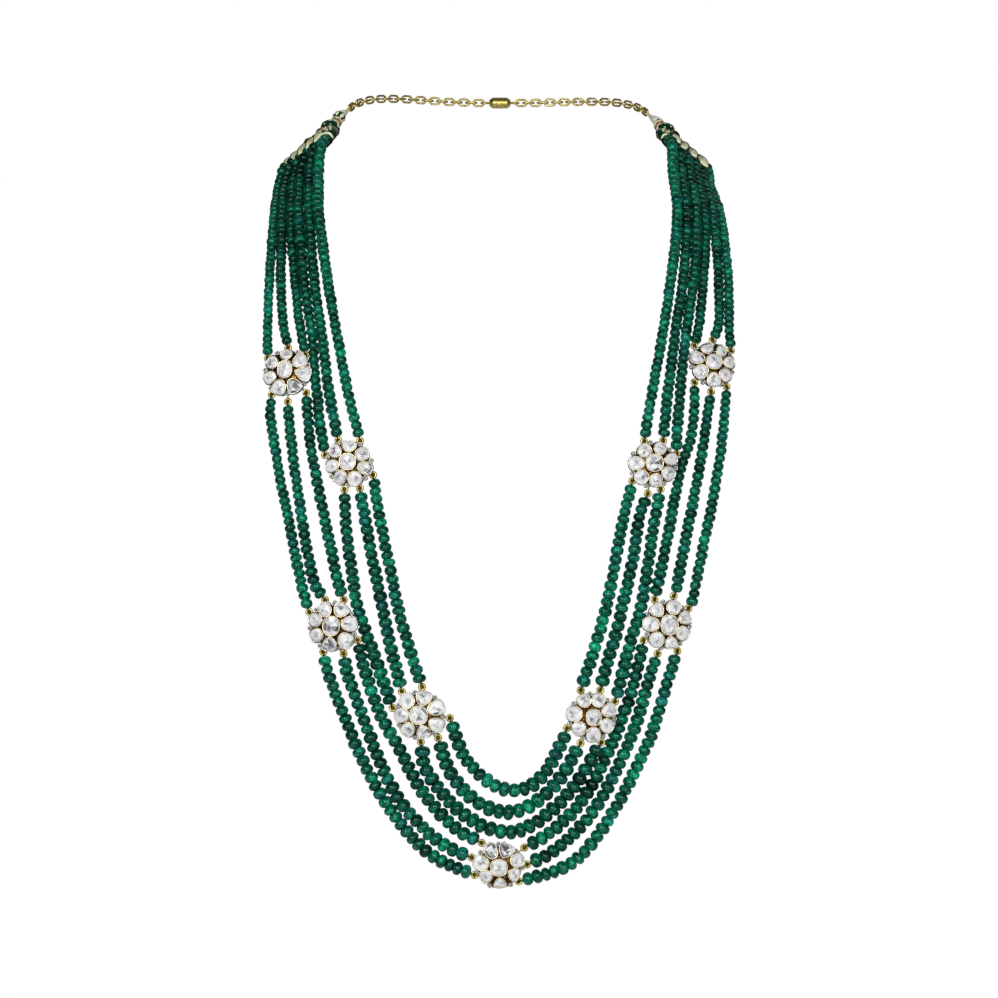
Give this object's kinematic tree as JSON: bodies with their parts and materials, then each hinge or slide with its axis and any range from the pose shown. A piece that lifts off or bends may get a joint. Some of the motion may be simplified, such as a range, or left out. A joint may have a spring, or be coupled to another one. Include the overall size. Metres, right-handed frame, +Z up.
{
  "type": "layered bead necklace",
  "caption": "Layered necklace of graded green stone bead strings joined by flower stations of clear stones, with fan-shaped end spreaders and a fine chain round the nape.",
  "frame": {"origin": "middle of the neck that the necklace is worn round", "axes": "+Z up, -Y to the front of the wearer, +X to the right of the front view"},
  "size_m": [0.2151, 0.1718, 0.3668],
  "materials": {
    "bead": "polished green stone, mottled",
    "setting": "pale gold and silver, softly polished, dark in the gaps",
    "clear_stone": "clear flat-cut stone with a bright foil behind it",
    "gold": "yellow gold, softly polished",
    "enamel": "glossy green enamel, with a red band"
  },
  "bodies": {
    "root": {"bead_string_1": "bead", "bead_string_2": "bead", "bead_string_3": "bead", "bead_string_4": "bead", "bead_string_5": "bead", "bead_string_6": "bead", "station_1": "setting", "station_2": "setting", "station_3": "setting", "station_4": "setting", "station_5": "setting", "station_6": "setting", "station_7": "setting", "station_8": "setting", "station_9": "setting", "centre_stone_1": "clear_stone", "centre_stone_2": "clear_stone", "centre_stone_3": "clear_stone", "centre_stone_4": "clear_stone", "centre_stone_5": "clear_stone", "centre_stone_6": "clear_stone", "centre_stone_7": "clear_stone", "centre_stone_8": "clear_stone", "centre_stone_9": "clear_stone", "petal_stones_1": "clear_stone", "petal_stones_2": "clear_stone", "petal_stones_3": "clear_stone", "petal_stones_4": "clear_stone", "petal_stones_5": "clear_stone", "petal_stones_6": "clear_stone", "petal_stones_7": "clear_stone", "petal_stones_8": "clear_stone", "petal_stones_9": "clear_stone", "spreader_left": "gold", "spreader_right": "gold", "enamel_left": "enamel", "enamel_right": "enamel", "nape_chain_left": "gold", "nape_chain_right": "gold", "clasp": "gold"}
  },
  "joints": []
}
